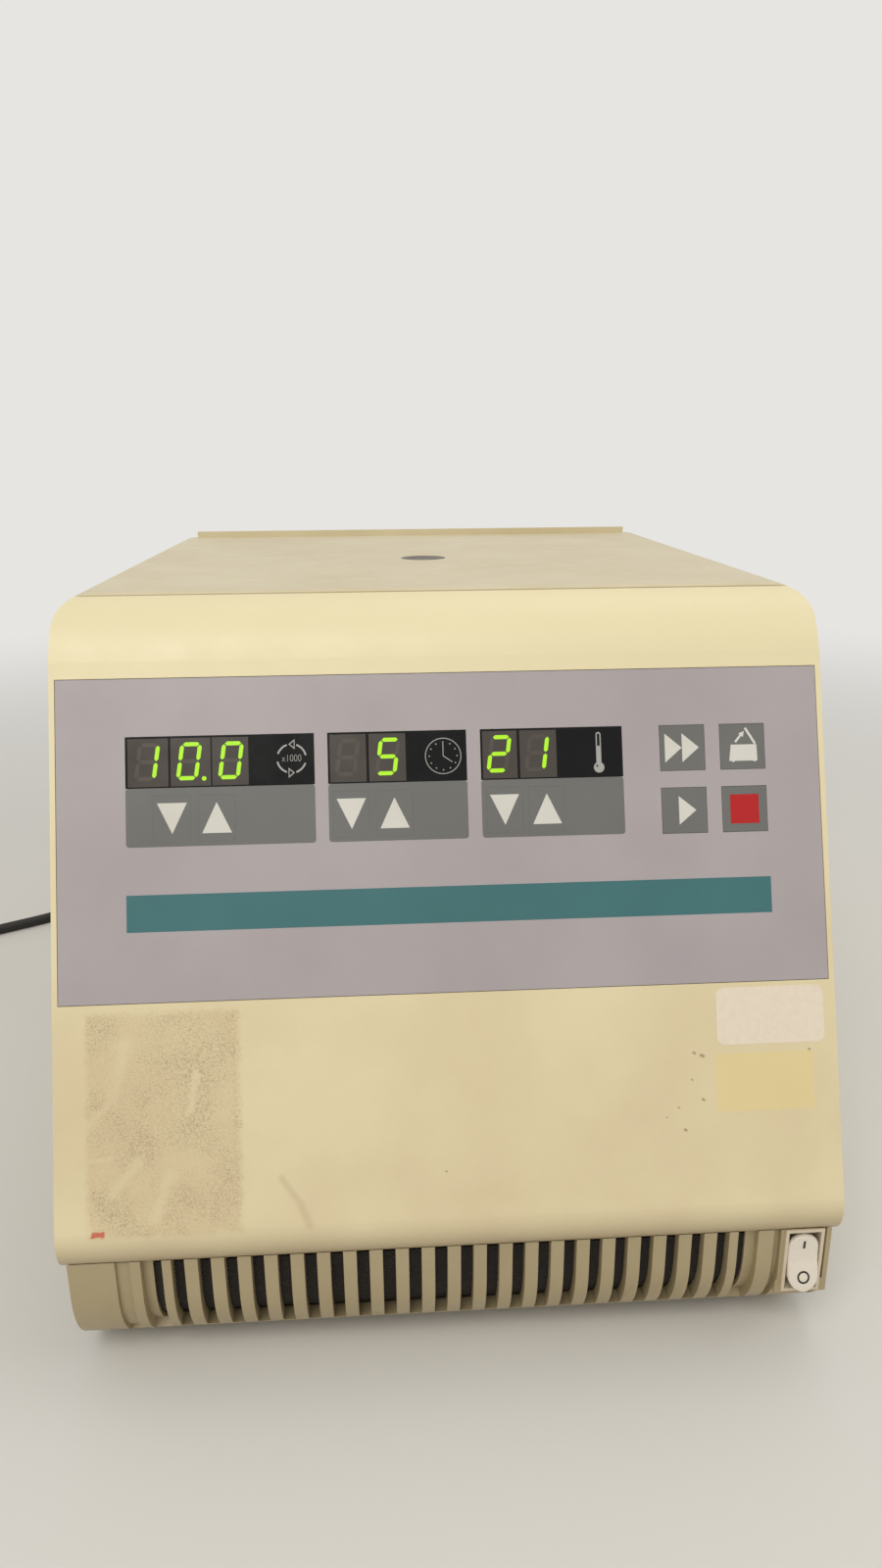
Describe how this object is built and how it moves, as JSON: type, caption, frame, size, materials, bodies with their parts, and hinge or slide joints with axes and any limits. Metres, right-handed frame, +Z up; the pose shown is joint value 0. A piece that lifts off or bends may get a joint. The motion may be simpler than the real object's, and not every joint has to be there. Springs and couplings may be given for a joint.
{
  "type": "refrigerated benchtop centrifuge",
  "caption": "Refrigerated benchtop centrifuge with a slanted control panel, a rear-hinged lid over a chilled rotor chamber and a slotted base.",
  "frame": {"origin": "on the table, under the middle of the cabinet", "axes": "+Z up, the control panel faces -Y, +X to the right as seen from the front"},
  "size_m": [0.5444, 0.7385, 0.2875],
  "materials": {
    "ivory_housing": "moulded ivory plastic with a fine leather-like texture",
    "panel_plate": "lilac-grey printed film on a flat plate",
    "dark_lens": "dark tinted display lens",
    "led_block": "seven-segment display block",
    "key_grey": "grey membrane key with a printed sign",
    "circuit_board": "green circuit board",
    "filter_mesh": "dark woven mesh",
    "black_rubber": "black rubber",
    "liner_plastic": "off-white moulded liner",
    "foam": "pale yellow rigid foam",
    "clear_glass": "clear acrylic",
    "steel": "zinc-plated steel",
    "stainless": "drawn stainless steel",
    "copper": "bright copper tube",
    "rotor_aluminium": "machined aluminium",
    "knob_black": "black moulded plastic",
    "motor_paint": "dark grey painted casting",
    "compressor_paint": "black painted steel shell",
    "rocker_white": "white moulded rocker",
    "cord_black": "black cord sheath"
  },
  "bodies": {
    "cabinet": {"base_tray": "ivory_housing", "chamber_bowl": "stainless", "chamber_gasket": "black_rubber", "compressor": "compressor_paint", "compressor_mounts": "black_rubber", "condenser": "rotor_aluminium", "control_board": "circuit_board", "control_panel": "panel_plate", "cord_coil": "cord_black", "cord_connector": "cord_black", "cord_tail": "cord_black", "display_windows": "dark_lens", "evaporator_coil": "copper", "fan_frame": "knob_black", "front_housing": "ivory_housing", "hinge_brackets": "steel", "hinge_pins": "steel", "housing_screws": "steel", "insulation_jacket": "foam", "intake_filter": "filter_mesh", "latch_body": "steel", "led_displays": "led_block", "mains_cord": "cord_black", "mains_plug": "cord_black", "mains_switch_body": "knob_black", "motor_bearings": "steel", "motor_boot": "black_rubber", "motor_dampers": "black_rubber", "motor_housing": "motor_paint", "motor_plate": "steel", "power_inlet": "knob_black", "power_supply": "steel", "rear_cover": "ivory_housing", "refrigerant_lines": "copper", "rubber_feet": "black_rubber"},
    "lid": {"lid_shell": "ivory_housing", "lid_liner": "liner_plastic", "lid_core": "foam", "lid_screws": "steel", "sight_glass": "clear_glass", "lid_seal": "black_rubber", "lid_hinge_arms": "steel", "lid_striker": "steel"},
    "spindle": {"motor_shaft": "steel", "rotor": "rotor_aluminium", "rotor_lid": "rotor_aluminium"},
    "rotor_clamp": {"rotor_knob": "knob_black"},
    "latch": {"latch_hook": "steel"},
    "rocker": {"mains_rocker": "rocker_white"},
    "fan": {"condenser_fan": "knob_black"},
    "key_fast_cap": {"key_fast": "key_grey"},
    "key_lid_cap": {"key_lid": "key_grey"},
    "key_speed_down_cap": {"key_speed_down": "key_grey"},
    "key_speed_up_cap": {"key_speed_up": "key_grey"},
    "key_start_cap": {"key_start": "key_grey"},
    "key_stop_cap": {"key_stop": "key_grey"},
    "key_temperature_down_cap": {"key_temperature_down": "key_grey"},
    "key_temperature_up_cap": {"key_temperature_up": "key_grey"},
    "key_time_down_cap": {"key_time_down": "key_grey"},
    "key_time_up_cap": {"key_time_up": "key_grey"}
  },
  "joints": [
    {"name": "lid_hinge", "type": "hinge", "parent": "cabinet", "child": "lid", "pos_m": [0, 0.0973, 0.267], "axis": [-1, 0, 0], "range_deg": [0, 80]},
    {"name": "rotor_spin", "type": "hinge", "parent": "cabinet", "child": "spindle", "pos_m": [0, -0.0583, 0.2], "axis": [0, 0, 1], "continuous": true},
    {"name": "rotor_knob_turn", "type": "hinge", "parent": "spindle", "child": "rotor_clamp", "pos_m": [0, -0.0583, 0.24], "axis": [0, 0, 1], "continuous": true},
    {"name": "latch_swing", "type": "hinge", "parent": "cabinet", "child": "latch", "pos_m": [0, -0.177, 0.226], "axis": [1, 0, 0], "range_deg": [0, 12], "stiffness_Nm_per_rad": 0.02},
    {"name": "mains_rocker_tilt", "type": "hinge", "parent": "cabinet", "child": "rocker", "pos_m": [0.1324, -0.27, 0.039], "axis": [1, 0, 0], "range_deg": [0, 16]},
    {"name": "condenser_fan_spin", "type": "hinge", "parent": "cabinet", "child": "fan", "pos_m": [0.038, 0.2282, 0.1105], "axis": [0, 1, 0], "continuous": true},
    {"name": "key_fast_press", "type": "slide", "parent": "cabinet", "child": "key_fast_cap", "axis": [0, 0.9379, -0.3469], "range_m": [0, 0.0004], "stiffness_N_per_m": 400},
    {"name": "key_lid_press", "type": "slide", "parent": "cabinet", "child": "key_lid_cap", "axis": [0, 0.9379, -0.3469], "range_m": [0, 0.0004], "stiffness_N_per_m": 400},
    {"name": "key_speed_down_press", "type": "slide", "parent": "cabinet", "child": "key_speed_down_cap", "axis": [0, 0.9379, -0.3469], "range_m": [0, 0.0004], "stiffness_N_per_m": 400},
    {"name": "key_speed_up_press", "type": "slide", "parent": "cabinet", "child": "key_speed_up_cap", "axis": [0, 0.9379, -0.3469], "range_m": [0, 0.0004], "stiffness_N_per_m": 400},
    {"name": "key_start_press", "type": "slide", "parent": "cabinet", "child": "key_start_cap", "axis": [0, 0.9379, -0.3469], "range_m": [0, 0.0004], "stiffness_N_per_m": 400},
    {"name": "key_stop_press", "type": "slide", "parent": "cabinet", "child": "key_stop_cap", "axis": [0, 0.9379, -0.3469], "range_m": [0, 0.0004], "stiffness_N_per_m": 400},
    {"name": "key_temperature_down_press", "type": "slide", "parent": "cabinet", "child": "key_temperature_down_cap", "axis": [0, 0.9379, -0.3469], "range_m": [0, 0.0004], "stiffness_N_per_m": 400},
    {"name": "key_temperature_up_press", "type": "slide", "parent": "cabinet", "child": "key_temperature_up_cap", "axis": [0, 0.9379, -0.3469], "range_m": [0, 0.0004], "stiffness_N_per_m": 400},
    {"name": "key_time_down_press", "type": "slide", "parent": "cabinet", "child": "key_time_down_cap", "axis": [0, 0.9379, -0.3469], "range_m": [0, 0.0004], "stiffness_N_per_m": 400},
    {"name": "key_time_up_press", "type": "slide", "parent": "cabinet", "child": "key_time_up_cap", "axis": [0, 0.9379, -0.3469], "range_m": [0, 0.0004], "stiffness_N_per_m": 400}
  ]
}
